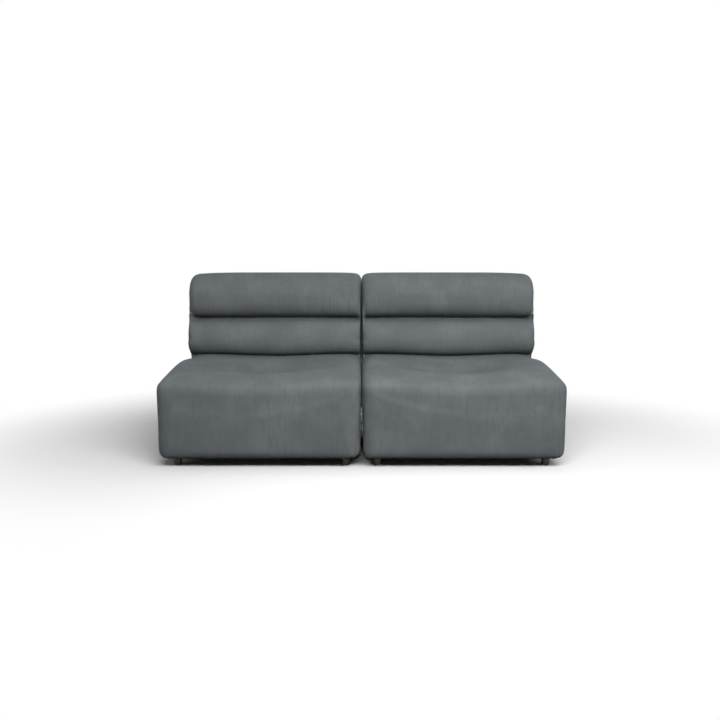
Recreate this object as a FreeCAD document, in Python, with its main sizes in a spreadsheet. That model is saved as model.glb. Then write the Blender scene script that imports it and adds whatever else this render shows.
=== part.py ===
"""Armless lounge sofa made of two equal upholstered units that stand side by side.

Each unit is a fabric covered block seat with a dished top and a reclined back of two padded rolls,
carried by a timber frame on short turned feet. Two pairs of interlocking steel brackets in the gap
between the units hold them together; the right unit lifts straight up off the left one.

Millimetres, +X to the right, +Y to the back, +Z up. The origin is on the floor, under the middle
of the whole sofa. All depths named below are measured back from the front plane of the seat.
"""
import FreeCAD, Part
import math
import os
import Sketcher
from FreeCAD import Placement, Rotation, Vector

os.makedirs("parts", exist_ok=True)
doc = FreeCAD.newDocument("armless_sofa")

# Driving dimensions
SIZES = {
    # whole sofa
    "overall_height": 807,
    "overall_depth": 930,
    "module_width": 874.5,
    "block_depth": 880,
    # feet and underside
    "foot_height": 43,
    "foot_radius": 19,
    "foot_side_setback": 11,
    "foot_end_setback": 36,
    "dust_cover_thickness": 1,
    # cover, and the clearances between soft pieces and round screws
    "cover_thickness": 2,
    "soft_clearance": 0.3,
    "screw_clearance": 0.15,
    # rounded edges of the block
    "side_edge_round": 48,
    "front_top_round": 50,
    "rear_top_round": 14,
    "bottom_round": 36,
    # seat top beside the dish, and how far the dish lowers it on the unit's centre line
    "front_edge_height": 396,
    "front_edge_drop": 16,
    "crest_depth": 150,
    "crest_height": 407,
    "crest_drop": 13,
    "dish_depth": 375,
    "dish_height": 421,
    "dish_drop": 74,
    "deck_depth": 628,
    "deck_height": 401,
    "deck_drop": 8,
    "dish_half_width": 365,
    "side_rise": 0.09,
    # back rolls
    "lower_roll_front": 618,
    "lower_roll_bottom_round": 65,
    "crease_height": 592,
    "crease_opening": 8,
    # how far the bottom of the crease lies behind the ends of the two rolls
    "crease_depth": 13,
    "tuck_ledge": 10,
    "lower_roll_flat": 4,
    "upper_roll_front": 667,
    "upper_roll_bottom_round": 63,
    "upper_roll_top_round": 110,
    "back_top_rear_round": 85,
    "back_recline": 11.5,
    "roll_end_round": 38,
    # timber frame
    "rail_thickness": 18,
    "rail_height": 170,
    "corner_block_size": 90,
    "corner_block_height": 45,
    "post_thickness": 22,
    "post_width": 70,
    "post_foot_width": 80,
    "back_frame_height": 330,
    "back_board_thickness": 9,
    "top_rail_thickness": 22,
    "top_rail_height": 60,
    "rear_pad_thickness": 25,
    "crease_rod_radius": 2,
    # webbing
    "webbing_width": 60,
    "webbing_thickness": 2,
    "webbing_pitch": 105,
    "webbing_count": 6,
    # fixings
    "foot_bolt_radius": 4,
    "foot_bolt_grip": 28,
    # interlocking brackets
    "bracket_gauge": 2.5,
    "bracket_clearance": 0.35,
    "bracket_length": 100,
    "bracket_height": 80,
    "bracket_low": 100,
    "bracket_from_ends": 220,
    "tongue_width": 36,
    "tongue_reach": 30,
    "loop_height": 24,
    "loop_low": 26,
    "hook_drop": 2,
    "connector_block_margin": 10,
}

sheet = doc.addObject("Spreadsheet::Sheet", "sizes")
for row, (alias, value) in enumerate(SIZES.items(), start=1):
    sheet.set(f"A{row}", alias)
    sheet.set(f"B{row}", str(value))
    sheet.setAlias(f"B{row}", alias)
doc.recompute()


def size(alias):
    """One driving dimension, as a number read from the sheet."""
    return float(sheet.get(alias))


def cell(alias):
    """One driving dimension, as the text that an expression uses."""
    return f"sizes.{alias}"


# Places worked out from the driving dimensions, as expressions
# The hem lies on the dust cover, and the frame stands on the hem.
HEM_LOW = "(sizes.foot_height + sizes.dust_cover_thickness)"
FRAME_LOW = f"({HEM_LOW} + sizes.cover_thickness)"
RAIL_TOP = f"({FRAME_LOW} + sizes.rail_height)"
# The frame stands inside the rounded lower edge, on the flat of the underside.
FRAME_HALF = "(sizes.module_width / 2 - sizes.bottom_round)"
FRAME_FRONT = "sizes.bottom_round"
FRAME_REAR = "(sizes.block_depth - sizes.bottom_round)"
INSIDE_HALF = f"({FRAME_HALF} - sizes.rail_thickness)"
INSIDE_FRONT = f"({FRAME_FRONT} + sizes.rail_thickness)"
INSIDE_REAR = f"({FRAME_REAR} - sizes.rail_thickness)"
FOOT_SIDE = f"({INSIDE_HALF} - sizes.foot_side_setback)"
FOOT_FRONT = f"({INSIDE_FRONT} + sizes.foot_end_setback)"
FOOT_REAR = f"({INSIDE_REAR} - sizes.foot_end_setback)"
# The gap between the units is what four layers of bracket plate and three clearances take up.
GAP = "(4 * sizes.bracket_gauge + 3 * sizes.bracket_clearance)"
MODULE_PITCH = f"(sizes.module_width + {GAP})"
MIDDLE = "sizes.overall_depth / 2"
# The rear line of the back leans by the recline and starts here at deck height.
SINE = "sin(sizes.back_recline)"
COSINE = "cos(sizes.back_recline)"
TANGENT = "tan(sizes.back_recline)"
REAR_LINE = (
    f"(sizes.overall_depth - sizes.back_top_rear_round * (1 - {COSINE})"
    f" - (sizes.overall_height - sizes.back_top_rear_round * (1 + {SINE}) - sizes.deck_height)"
    f" * {TANGENT})"
)
# The rolls' rounds end at half the crease's opening above and below its middle, and the crease
# runs on behind the end that lies deeper.
LOWER_MIDDLE = "(sizes.deck_height + sizes.lower_roll_bottom_round + sizes.lower_roll_flat)"
LOWER_ROUND = f"(sizes.crease_height - {LOWER_MIDDLE})"


def roll_end(front, radius):
    """Depth at which the round of a roll meets the crease's opening."""
    level = f"({radius} - sizes.crease_opening / 2)"
    return f"({front} + {radius} - sqrt({radius} * {radius} - {level} * {level}))"


LOWER_END = roll_end("sizes.lower_roll_front", LOWER_ROUND)
UPPER_END = roll_end("sizes.upper_roll_front", "sizes.upper_roll_bottom_round")
CREASE_BOTTOM = f"(max({LOWER_END}; {UPPER_END}) + sizes.crease_depth)"
PAD_DEPTH = "(sizes.cover_thickness + sizes.soft_clearance + sizes.rear_pad_thickness)"
POST_FRONT = f"({PAD_DEPTH} + sizes.post_width)"
BOARD_FRONT = f"({POST_FRONT} + sizes.back_board_thickness)"


def across(side, offset="0"):
    """X of a point that lies offset to the right of a unit's centre line."""
    return f"{side} * {MODULE_PITCH} / 2 + ({offset})"


def back_from(depth):
    """Y of a point at a depth behind the front plane."""
    return f"({depth}) - {MIDDLE}"


def on_recline(depth_from_rear, along):
    """Depth and height of a point inside the back: how far in from the rear line, how far along it."""
    depth = f"({REAR_LINE} - ({depth_from_rear}) * {COSINE} + ({along}) * {SINE})"
    height = f"(sizes.deck_height + ({depth_from_rear}) * {SINE} + ({along}) * {COSINE})"
    return depth, height


def place(item, x, y, z):
    """Bind the position of an object to three expressions."""
    item.setExpression("Placement.Base.x", x)
    item.setExpression("Placement.Base.y", y)
    item.setExpression("Placement.Base.z", z)
    return item


def box(name, length, width, height, x, y, z):
    """A block with its lowest corner at x, y, z."""
    item = doc.addObject("Part::Box", name)
    item.setExpression("Length", length)
    item.setExpression("Width", width)
    item.setExpression("Height", height)
    return place(item, x, y, z)


def rod(name, radius, height, x, y, z, along=Vector(0, 0, 1)):
    """A round bar that starts at x, y, z."""
    item = doc.addObject("Part::Cylinder", name)
    item.setExpression("Radius", radius)
    item.setExpression("Height", height)
    item.Placement = Placement(Vector(), Rotation(Vector(0, 0, 1), along))
    return place(item, x, y, z)


def group(name, members):
    """Separate solids that share one node."""
    item = doc.addObject("Part::Compound", name)
    item.Links = members
    return item


def cut(name, base, tools):
    """A piece with one or more openings taken out of it."""
    item = doc.addObject("Part::Cut", name)
    item.Base = base
    item.Tool = tools[0] if len(tools) == 1 else group(f"{name}_tools", tools)
    return item


def new_body(name):
    """An empty PartDesign body."""
    return doc.addObject("PartDesign::Body", name)


def outline(body, name, plane_role, corners):
    """A closed straight sided sketch on one of the body's own planes, each corner bound to the sheet."""
    sketch = body.newObject("Sketcher::SketchObject", name)
    plane = [f for f in body.Origin.OriginFeatures if f.Role == plane_role][0]
    sketch.AttachmentSupport = [(plane, "")]
    sketch.MapMode = "FlatFace"
    count = len(corners)
    start_radius = 100
    ring = []
    for index in range(count):
        turn = 2 * math.pi * index / count
        ring.append(Vector(start_radius * math.cos(turn), start_radius * math.sin(turn), 0))
    for index in range(count):
        sketch.addGeometry(Part.LineSegment(ring[index], ring[(index + 1) % count]))
    for index in range(count):
        sketch.addConstraint(Sketcher.Constraint("Coincident", index, 2, (index + 1) % count, 1))
    for index, corner in enumerate(corners):
        for kind, expression in zip(("DistanceX", "DistanceY"), corner):
            start = ring[index].x if kind == "DistanceX" else ring[index].y
            number = sketch.addConstraint(Sketcher.Constraint(kind, -1, 1, index, 1, start))
            sketch.setExpression(f"Constraints[{number}]", expression)
    return sketch


def pad(body, name, sketch, length, midplane=False):
    """Extrude a sketch."""
    item = body.newObject("PartDesign::Pad", name)
    item.Profile = sketch
    item.setExpression("Length", length)
    item.Midplane = midplane
    return item


# Smooth curves in a side section, drawn in the plane of depth and height

def arc(first, middle, last):
    """An arc through three points of a section, or a line where they are as good as straight."""
    chord = math.hypot(last[0] - first[0], last[1] - first[1])
    rise = abs(
        (last[0] - first[0]) * (middle[1] - first[1]) - (last[1] - first[1]) * (middle[0] - first[0])
    )
    flat_enough = 0.01
    if rise / chord < flat_enough:
        return Part.LineSegment(Vector(0, *first), Vector(0, *last))
    return Part.Arc(Vector(0, *first), Vector(0, *middle), Vector(0, *last))


def round_arc(centre, radius, from_degrees, to_degrees):
    """Part of a circle, with its two end points; angles run from straight back towards up."""
    points = []
    for degrees in (from_degrees, (from_degrees + to_degrees) / 2, to_degrees):
        turn = math.radians(degrees)
        points.append((centre[0] + radius * math.cos(turn), centre[1] + radius * math.sin(turn)))
    return arc(*points), points[0], points[2]


def tangent_arc(start, slope, end):
    """The arc that leaves start at a slope and ends at end."""
    chord = math.atan2(end[1] - start[1], end[0] - start[0])
    bend = chord - math.atan(slope)
    length = math.hypot(end[0] - start[0], end[1] - start[1])
    sagitta = length / 2 * math.tan(bend / 2)
    middle = (
        (start[0] + end[0]) / 2 + sagitta * math.sin(chord),
        (start[1] + end[1]) / 2 - sagitta * math.cos(chord),
    )
    return arc(start, middle, end)


def two_arcs(start, start_slope, end, end_slope):
    """Two arcs that join smoothly and match the slopes of the curve at both of its ends."""
    run = (end[0] - start[0], end[1] - start[1])
    first = (math.cos(math.atan(start_slope)), math.sin(math.atan(start_slope)))
    last = (math.cos(math.atan(end_slope)), math.sin(math.atan(end_slope)))
    both = (first[0] + last[0], first[1] + last[1])
    along = run[0] * both[0] + run[1] * both[1]
    squared = run[0] ** 2 + run[1] ** 2
    spread = 2 * (1 - first[0] * last[0] - first[1] * last[1])
    if spread < 1e-9:
        handle = squared / (2 * along)
    else:
        handle = (-along + math.sqrt(along ** 2 + spread * squared)) / spread
    joint = (
        (start[0] + end[0] + handle * (first[0] - last[0])) / 2,
        (start[1] + end[1] + handle * (first[1] - last[1])) / 2,
    )
    joint_run = (
        joint[0] - start[0] - handle * first[0],
        joint[1] - start[1] - handle * first[1],
    )
    joint_slope = joint_run[1] / joint_run[0]
    first_arc = tangent_arc(start, start_slope, joint)
    last_arc = tangent_arc(joint, joint_slope, end)
    return [(first_arc, DISH_CHORDS), (last_arc, DISH_CHORDS)]


def line(first, last):
    """A straight stretch of a section, with its one chord."""
    return Part.LineSegment(Vector(0, *first), Vector(0, *last)), 1


def section_wire(offset, curves):
    """A closed side section that stands offset to the right of the unit's centre line.

    Each curve comes with the number of chords that stand for it, so that every section of a loft
    has as many sides and the loft's faces are plain strips.
    """
    points = []
    for curve, chords in curves:
        points.extend(curve.toShape().discretize(Number=chords + 1)[:-1])
    wire = Part.makePolygon([*points, points[0]])
    wire.translate(Vector(offset, 0, 0))
    return wire


def flat_face(corners):
    """A plane face with straight sides."""
    return Part.Face(Part.makePolygon([*corners, corners[0]]))


def strip_faces(near, far):
    """Flat faces between two neighbouring sections: a quad where it is flat, else two triangles."""
    faces = []
    count = len(near)
    for index in range(count):
        following = (index + 1) % count
        quad = [near[index], near[following], far[following], far[index]]
        normal = (quad[2] - quad[0]).cross(quad[3] - quad[1]).normalize()
        if abs((quad[1] - quad[0]).dot(normal)) < FLATNESS:
            faces.append(flat_face(quad))
        else:
            faces.append(flat_face(quad[:3]))
            faces.append(flat_face([quad[0], quad[2], quad[3]]))
    return faces


def loft(sections):
    """A solid through side sections that all have as many corners, in flat faces only.

    A ruled surface between the same sections would need three times as many facets.
    """
    rows = [[vertex.Point for vertex in section.OrderedVertexes] for section in sections]
    faces = [Part.Face(sections[0]), Part.Face(sections[-1])]
    for near, far in zip(rows, rows[1:]):
        faces.extend(strip_faces(near, far))
    solid = Part.Solid(Part.Shell(faces))
    if solid.Volume < 0:
        solid.reverse()
    return solid.removeSplitter()


# Chords that stand for the round stretches of a section
ROLL_CHORDS = 6
TUCK_CHORDS = 4
EDGE_CHORDS = 4
SMALL_EDGE_CHORDS = 2
DISH_CHORDS = 2
# Degrees round a side edge, and shares of the dish's half width, at which a section is drawn
BACK_EDGE_TURNS = (0, 30, 60, 90)
BLOCK_EDGE_TURNS = (0, 30, 60)
DISH_SHARES = (1, 0.75, 0.5, 0.25)
DECK_SHARES = (1, 0.5)
LEAST_ROUND = 2
LEAST_STEP = 0.5
# How far a corner may lie off a face's plane
FLATNESS = 1e-5
# The crease's sloping walls are skin thick when its bottom moves in by this many skins.
CREASE_SKIN_SHARE = 1.5
CREASE_ROD_DEPTH = (
    f"({CREASE_BOTTOM} + {CREASE_SKIN_SHARE} * sizes.cover_thickness"
    " + sizes.soft_clearance + sizes.crease_rod_radius)"
)


def inset_at(radius, distance):
    """How far a rounded edge draws a section in, at a distance from the flat side of the piece."""
    if distance >= radius:
        return 0.0
    return radius - math.sqrt(radius ** 2 - (radius - distance) ** 2)


def stations(skin, shares, turns, flat_starts):
    """Section places across one unit for a surface that lies skin inside the cover's outside.

    Each is the offset from the centre line and the distance from the side face. Shares are of the
    dish's half width, and flat_starts are distances from the outermost side face.
    """
    half = size("module_width") / 2 - skin
    edge = size("side_edge_round") - skin
    offsets = [share * size("dish_half_width") for share in shares]
    offsets += [half - edge * (1 - math.cos(math.radians(turn))) for turn in turns]
    offsets += [half + skin - distance for distance in flat_starts]
    right = []
    for offset in sorted(offsets):
        if not right or offset - right[-1][0] > LEAST_STEP:
            right.append((offset, half - offset))
    left = [(-offset, distance) for offset, distance in reversed(right)]
    return left + [(0.0, half)] + right


def dish_share(offset):
    """How much of the dish's depth is reached at an offset from the unit's centre line."""
    reach = min(abs(offset) / size("dish_half_width"), 1)
    return math.cos(math.pi / 2 * reach) ** 2


def hem_low():
    """Height of the underside of the cover."""
    return size("foot_height") + size("dust_cover_thickness")


def block_section(offset, distance, skin):
    """Side section of the seat block: flat underside, rounded front, dished top, flat deck."""
    share = dish_share(offset)
    side_inset = inset_at(size("side_edge_round") - skin, distance)
    inset = skin + side_inset
    low_inset = inset_at(size("bottom_round") - skin, distance)
    low = hem_low() + skin + low_inset
    front = inset
    rear = size("block_depth") - inset
    low_round = max(size("bottom_round") - inset, LEAST_ROUND)
    top_round = max(size("front_top_round") - inset, LEAST_ROUND)
    rear_round = max(size("rear_top_round") - inset, LEAST_ROUND)

    def top(name):
        return size(f"{name}_height") - share * size(f"{name}_drop") - inset

    edge_run = size("crest_depth") - size("front_top_round")
    edge_rise = top("crest") - top("front_edge")
    crest_slope = size("side_rise") * (1 - share)
    edge_slope = max(2 * edge_rise / edge_run - crest_slope, crest_slope)
    lean = math.atan(edge_slope)
    edge_point = (front + top_round * (1 - math.sin(lean)), top("front_edge"))
    corner_centre = (front + top_round, edge_point[1] - top_round * math.cos(lean))
    crest = (size("crest_depth"), top("crest"))
    dish = (size("dish_depth"), top("dish"))
    deck = (size("deck_depth"), top("deck"))
    dish_slope = 0.0
    low_front, bottom_start, front_low = round_arc(
        (front + low_round, low + low_round), low_round, -90, -180
    )
    front_corner, front_high, edge_end = round_arc(
        corner_centre, top_round, 180, 90 + math.degrees(lean)
    )
    rear_corner, deck_end, rear_high = round_arc(
        (rear - rear_round, deck[1] - rear_round), rear_round, 90, 0
    )
    low_rear, rear_low, bottom_end = round_arc(
        (rear - low_round, low + low_round), low_round, 0, -90
    )
    curves = [
        (low_front, EDGE_CHORDS),
        line(front_low, front_high),
        (front_corner, EDGE_CHORDS),
        (tangent_arc(edge_end, edge_slope, crest), DISH_CHORDS),
        *two_arcs(crest, crest_slope, dish, dish_slope),
        *two_arcs(dish, dish_slope, deck, 0.0),
        line(deck, deck_end),
        (rear_corner, SMALL_EDGE_CHORDS),
        line(rear_high, rear_low),
        (low_rear, EDGE_CHORDS),
        line(bottom_end, bottom_start),
    ]
    return section_wire(offset, curves)


def rear_line_depth():
    """Depth of the rear line of the back at deck height."""
    lean = math.radians(size("back_recline"))
    turn = size("back_top_rear_round")
    rise = size("overall_height") - turn * (1 + math.sin(lean)) - size("deck_height")
    return size("overall_depth") - turn * (1 - math.cos(lean)) - rise * math.tan(lean)


def back_section(offset, distance, skin, low):
    """Side section of the back: two rolls in front, a rounded top and a straight reclined rear.

    It runs on down to low, inside the seat block, whose form is then taken out of it.
    """
    lean = math.radians(size("back_recline"))
    end_inset = inset_at(size("roll_end_round") - skin, distance)
    inset = skin + end_inset
    half_opening = size("crease_opening") / 2
    crease = (value(CREASE_BOTTOM) + skin * CREASE_SKIN_SHARE, size("crease_height"))

    tuck_round = size("lower_roll_bottom_round")
    deck = size("deck_height") - dish_share(offset) * size("deck_drop")
    tuck_centre = (size("lower_roll_front") + end_inset + tuck_round, deck + tuck_round)
    tuck, tuck_end, tuck_high = round_arc(tuck_centre, tuck_round - skin, -90, -180)
    ledge = (size("lower_roll_front") + tuck_round + size("tuck_ledge") + inset, tuck_end[1])
    lower_middle = size("deck_height") + tuck_round + size("lower_roll_flat")
    lower_round = size("crease_height") - lower_middle
    lower_stop = math.degrees(math.asin((lower_round - half_opening) / lower_round))
    lower_centre = (size("lower_roll_front") + lower_round, lower_middle)
    lower_roll, lower_start, lower_end = round_arc(
        lower_centre, lower_round - inset, 180, 180 - lower_stop
    )

    under_round = size("upper_roll_bottom_round")
    under_centre = (size("upper_roll_front") + under_round, size("crease_height") + under_round)
    under_stop = math.degrees(math.asin((under_round - half_opening) / under_round))
    under_roll, under_start, under_end = round_arc(
        under_centre, under_round - inset, 180 + under_stop, 180
    )
    top_round = size("upper_roll_top_round")
    top_centre = (size("upper_roll_front") + top_round, size("overall_height") - top_round)
    top_roll, top_start, top_end = round_arc(top_centre, top_round - inset, 180, 90)

    rear_round = size("back_top_rear_round")
    rear_centre = (size("overall_depth") - rear_round, size("overall_height") - rear_round)
    rear_roll, rear_start, rear_end = round_arc(
        rear_centre, rear_round - inset, 90, -math.degrees(lean)
    )
    foot = (rear_end[0] - (rear_end[1] - low) * math.tan(lean), low)
    ledge_foot = (ledge[0], low)
    curves = [
        (tuck, TUCK_CHORDS),
        line(tuck_high, lower_start),
        (lower_roll, ROLL_CHORDS),
        line(lower_end, crease),
        line(crease, under_start),
        (under_roll, TUCK_CHORDS),
        line(under_end, top_start),
        (top_roll, ROLL_CHORDS),
        line(top_end, rear_start),
        (rear_roll, ROLL_CHORDS),
        line(rear_end, foot),
        line(foot, ledge_foot),
        line(ledge_foot, ledge),
        line(ledge, tuck_end),
    ]
    return section_wire(offset, curves)


def block_solid(skin):
    """The seat block's outer form, drawn in by skin.

    A section lies where the flat of the underside starts, because the frame stands on that flat.
    """
    places = stations(skin, DISH_SHARES, BLOCK_EDGE_TURNS, [size("bottom_round")])
    return loft([block_section(offset, distance, skin) for offset, distance in places])


def back_solid(skin, low):
    """The back's outer form, drawn in by skin, running down to low inside the seat block."""
    places = stations(skin, DECK_SHARES, BACK_EDGE_TURNS, [])
    return loft([back_section(offset, distance, skin, low) for offset, distance in places])


def plain_box(low, high):
    """A block between two corners, for cutting."""
    return Part.makeBox(high[0] - low[0], high[1] - low[1], high[2] - low[2], Vector(*low))


def reclined_box(half_width, depths, heights):
    """A block inside the back, squared to its rear line: depths from that line, heights along it."""
    lean = size("back_recline")
    solid = Part.makeBox(
        2 * half_width,
        depths[1] - depths[0],
        heights[1] - heights[0],
        Vector(-half_width, -depths[1], heights[0]),
    )
    origin = Vector(0, rear_line_depth(), size("deck_height"))
    solid.Placement = Placement(origin, Rotation(Vector(-1, 0, 0), lean))
    return solid


def bounds_in_unit(item, side, margin):
    """The box of a finished piece, moved to the unit's own frame and grown by a margin."""
    bounds = item.Shape.BoundBox
    shift = side * module_pitch() / 2
    low = (bounds.XMin - shift - margin, bounds.YMin + size("overall_depth") / 2 - margin)
    high = (bounds.XMax - shift + margin, bounds.YMax + size("overall_depth") / 2 + margin)
    return (*low, bounds.ZMin - margin), (*high, bounds.ZMax + margin)


def module_pitch():
    """Distance between the centre lines of the two units."""
    gap = 4 * size("bracket_gauge") + 3 * size("bracket_clearance")
    return size("module_width") + gap


def formed(name, shape, side):
    """A soft piece made in its unit's own frame and then put in its place."""
    item = doc.addObject("Part::Feature", name)
    item.Shape = shape
    item.Placement = Placement(
        Vector(side * module_pitch() / 2, -size("overall_depth") / 2, 0), Rotation()
    )
    return item


# Frame of one unit. A side is -1 for the left unit and 1 for the right one, and a direction is the
# same within a unit: the outer rail, post and feet of a unit lie towards its side.

POST_FOOT_FRONT = f"({INSIDE_REAR} - sizes.post_foot_width)"
POST_INSIDE = f"({INSIDE_HALF} - sizes.post_thickness)"


def base_frame(label, side):
    """Rails of one unit's base: front and rear run full width, the side rails stand between them."""
    pieces = {}
    for end, depth in (("front", FRAME_FRONT), ("rear", INSIDE_REAR)):
        pieces[f"{end}_rail"] = box(
            f"{end}_rail_{label}",
            f"2 * {FRAME_HALF}",
            cell("rail_thickness"),
            cell("rail_height"),
            across(side, f"-{FRAME_HALF}"),
            back_from(depth),
            FRAME_LOW,
        )
    for role, direction in (("outer", side), ("inner", -side)):
        pieces[f"{role}_side_rail"] = box(
            f"{role}_side_rail_{label}",
            cell("rail_thickness"),
            f"{INSIDE_REAR} - {INSIDE_FRONT}",
            "sizes.rail_height + sizes.webbing_thickness",
            across(side, INSIDE_HALF if direction > 0 else f"-{FRAME_HALF}"),
            back_from(INSIDE_FRONT),
            FRAME_LOW,
        )
    return pieces


def foot_places():
    """The four feet of a unit: name of the place, direction along X, and depth."""
    for end, depth in (("front", FOOT_FRONT), ("rear", FOOT_REAR)):
        for direction in (-1, 1):
            yield end, direction, depth


def corner_blocks(label, side):
    """Blocks glued into the corners of the base, each drilled from below for a foot's bolt."""
    blocks = []
    for end, direction, foot_depth in foot_places():
        name = f"corner_block_{label}_{end}_{direction + 1}"
        reach = "sizes.corner_block_size"
        start = f"{INSIDE_HALF} - {reach}" if direction > 0 else f"-{INSIDE_HALF}"
        depth = INSIDE_FRONT if end == "front" else f"{INSIDE_REAR} - {reach}"
        blank = box(
            f"{name}_blank",
            reach,
            reach,
            cell("corner_block_height"),
            across(side, start),
            back_from(depth),
            FRAME_LOW,
        )
        hole = rod(
            f"{name}_hole",
            "sizes.foot_bolt_radius + sizes.screw_clearance",
            cell("foot_bolt_grip"),
            across(side, f"{direction} * {FOOT_SIDE}"),
            back_from(foot_depth),
            FRAME_LOW,
        )
        blocks.append(cut(name, blank, [hole]))
    return group(f"corner_blocks_{label}", blocks)


def webbing(label, side):
    """Elastic straps: one layer from front to back, and one across it on the taller side rails."""
    strap = "sizes.webbing_width"
    thick = "sizes.webbing_thickness"
    middle_depth = f"(({INSIDE_FRONT} + {POST_FOOT_FRONT}) / 2)"
    lengthwise = []
    crosswise = []
    for number in range(int(size("webbing_count"))):
        step = f"({number} - (sizes.webbing_count - 1) / 2) * sizes.webbing_pitch - {strap} / 2"
        lengthwise.append(
            box(
                f"long_strap_{label}_{number + 1}",
                strap,
                f"{FRAME_REAR} - {FRAME_FRONT}",
                thick,
                across(side, step),
                back_from(FRAME_FRONT),
                RAIL_TOP,
            )
        )
        crosswise.append(
            box(
                f"cross_strap_{label}_{number + 1}",
                f"2 * {FRAME_HALF}",
                strap,
                thick,
                across(side, f"-{FRAME_HALF}"),
                back_from(f"{middle_depth} + {step}"),
                f"{RAIL_TOP} + {thick}",
            )
        )
    return {
        "long_webbing": group(f"long_webbing_{label}", lengthwise),
        "cross_webbing": group(f"cross_webbing_{label}", crosswise),
    }


def back_post(name, side, direction):
    """A shaped upright: it stands square on a corner block, then leans back up through the back."""
    body = new_body(name)
    low = f"({FRAME_LOW} + sizes.corner_block_height)"
    knee_rear = on_recline(PAD_DEPTH, "0")
    knee_front = on_recline(POST_FRONT, "0")
    corners = [
        (POST_FOOT_FRONT, low),
        (INSIDE_REAR, low),
        (INSIDE_REAR, f"{knee_rear[1]} - ({knee_rear[0]} - {INSIDE_REAR}) / {TANGENT}"),
        on_recline(PAD_DEPTH, cell("back_frame_height")),
        on_recline(POST_FRONT, cell("back_frame_height")),
        (POST_FOOT_FRONT, f"{knee_front[1]} - ({knee_front[0]} - {POST_FOOT_FRONT}) / {TANGENT}"),
    ]
    sketch = outline(body, f"{name}_outline", "YZ_Plane", corners)
    pad(body, f"{name}_pad", sketch, cell("post_thickness"))
    start = POST_INSIDE if direction > 0 else f"-{INSIDE_HALF}"
    return place(body, across(side, start), back_from("0"), "0")


def lean_back(item):
    """Tilt a piece of the back by the recline, about its lowest front edge."""
    item.Placement = Placement(Vector(), Rotation(Vector(-1, 0, 0), 1))
    item.setExpression("Placement.Rotation.Angle", cell("back_recline"))


def back_frame(label, side):
    """Posts, top rail and front board of one unit's back."""
    pieces = {}
    for role, direction in (("outer", side), ("inner", -side)):
        pieces[f"back_post_{role}"] = back_post(f"back_post_{role}_{label}", side, direction)
    board_depth, board_height = on_recline(BOARD_FRONT, "0")
    board = box(
        f"back_board_{label}",
        f"2 * {FRAME_HALF}",
        cell("back_board_thickness"),
        cell("back_frame_height"),
        across(side, f"-{FRAME_HALF}"),
        back_from(board_depth),
        board_height,
    )
    lean_back(board)
    rail_depth, rail_height = on_recline(
        POST_FRONT, "sizes.back_frame_height - sizes.top_rail_height"
    )
    top_rail = box(
        f"back_top_rail_{label}",
        f"2 * {POST_INSIDE}",
        cell("top_rail_thickness"),
        cell("top_rail_height"),
        across(side, f"-{POST_INSIDE}"),
        back_from(rail_depth),
        rail_height,
    )
    lean_back(top_rail)
    pieces["back_board"] = board
    pieces["back_top_rail"] = top_rail
    return pieces


# Feet and underside

def foot(name, side, direction, depth):
    """A turned foot, bored from above for its bolt."""
    body = new_body(name)
    bore = "(sizes.foot_bolt_radius + sizes.screw_clearance)"
    bore_low = "(sizes.foot_height - sizes.foot_bolt_grip)"
    corners = [
        ("0", "0"),
        (cell("foot_radius"), "0"),
        (cell("foot_radius"), cell("foot_height")),
        (bore, cell("foot_height")),
        (bore, bore_low),
        ("0", bore_low),
    ]
    sketch = outline(body, f"{name}_outline", "XZ_Plane", corners)
    turned = body.newObject("PartDesign::Revolution", f"{name}_turning")
    turned.Profile = sketch
    turned.ReferenceAxis = (sketch, ["V_Axis"])
    turned.Angle = 360
    return place(body, across(side, f"{direction} * {FOOT_SIDE}"), back_from(depth), "0")


def feet_and_underside(label, side):
    """Feet with their bolts, and the thin cloth that closes the underside."""
    feet = {"front": [], "rear": []}
    bolts = []
    holes = []
    for end, direction, depth in foot_places():
        tag = f"{label}_{end}_{direction + 1}"
        feet[end].append(foot(f"foot_{tag}", side, direction, depth))
        bolts.append(
            rod(
                f"foot_bolt_{tag}",
                cell("foot_bolt_radius"),
                f"2 * sizes.foot_bolt_grip + {FRAME_LOW} - sizes.foot_height",
                across(side, f"{direction} * {FOOT_SIDE}"),
                back_from(depth),
                "sizes.foot_height - sizes.foot_bolt_grip",
            )
        )
        holes.append(
            rod(
                f"cloth_hole_{tag}",
                "sizes.foot_bolt_radius + sizes.screw_clearance",
                cell("dust_cover_thickness"),
                across(side, f"{direction} * {FOOT_SIDE}"),
                back_from(depth),
                cell("foot_height"),
            )
        )
    cloth = box(
        f"dust_cloth_{label}",
        f"2 * {FRAME_HALF}",
        f"{FRAME_REAR} - {FRAME_FRONT}",
        cell("dust_cover_thickness"),
        across(side, f"-{FRAME_HALF}"),
        back_from(FRAME_FRONT),
        cell("foot_height"),
    )
    return {
        "front_feet": group(f"front_feet_{label}", feet["front"]),
        "rear_feet": group(f"rear_feet_{label}", feet["rear"]),
        "foot_bolts": group(f"foot_bolts_{label}", bolts),
        "dust_cover": cut(f"dust_cover_{label}", cloth, holes),
    }


# Interlocking brackets. Across the gap lie the left plate, the tongue, the loop and the right plate,
# each one gauge thick and one clearance apart.

LEFT_FACE = f"(-{GAP} / 2)"
LAYER = "(sizes.bracket_gauge + sizes.bracket_clearance)"
TONGUE_NEAR = f"({LEFT_FACE} + {LAYER})"
LOOP_NEAR = f"({LEFT_FACE} + 2 * {LAYER})"
RIGHT_PLATE = f"({LEFT_FACE} + 3 * {LAYER})"
LOOP_LOW = "(sizes.bracket_low + sizes.loop_low)"
LOOP_TOP = f"({LOOP_LOW} + sizes.loop_height)"
BRIDGE_LOW = f"({LOOP_TOP} + sizes.hook_drop)"
BLOCK_THICKNESS = "(sizes.bottom_round - sizes.cover_thickness - sizes.soft_clearance)"


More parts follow.
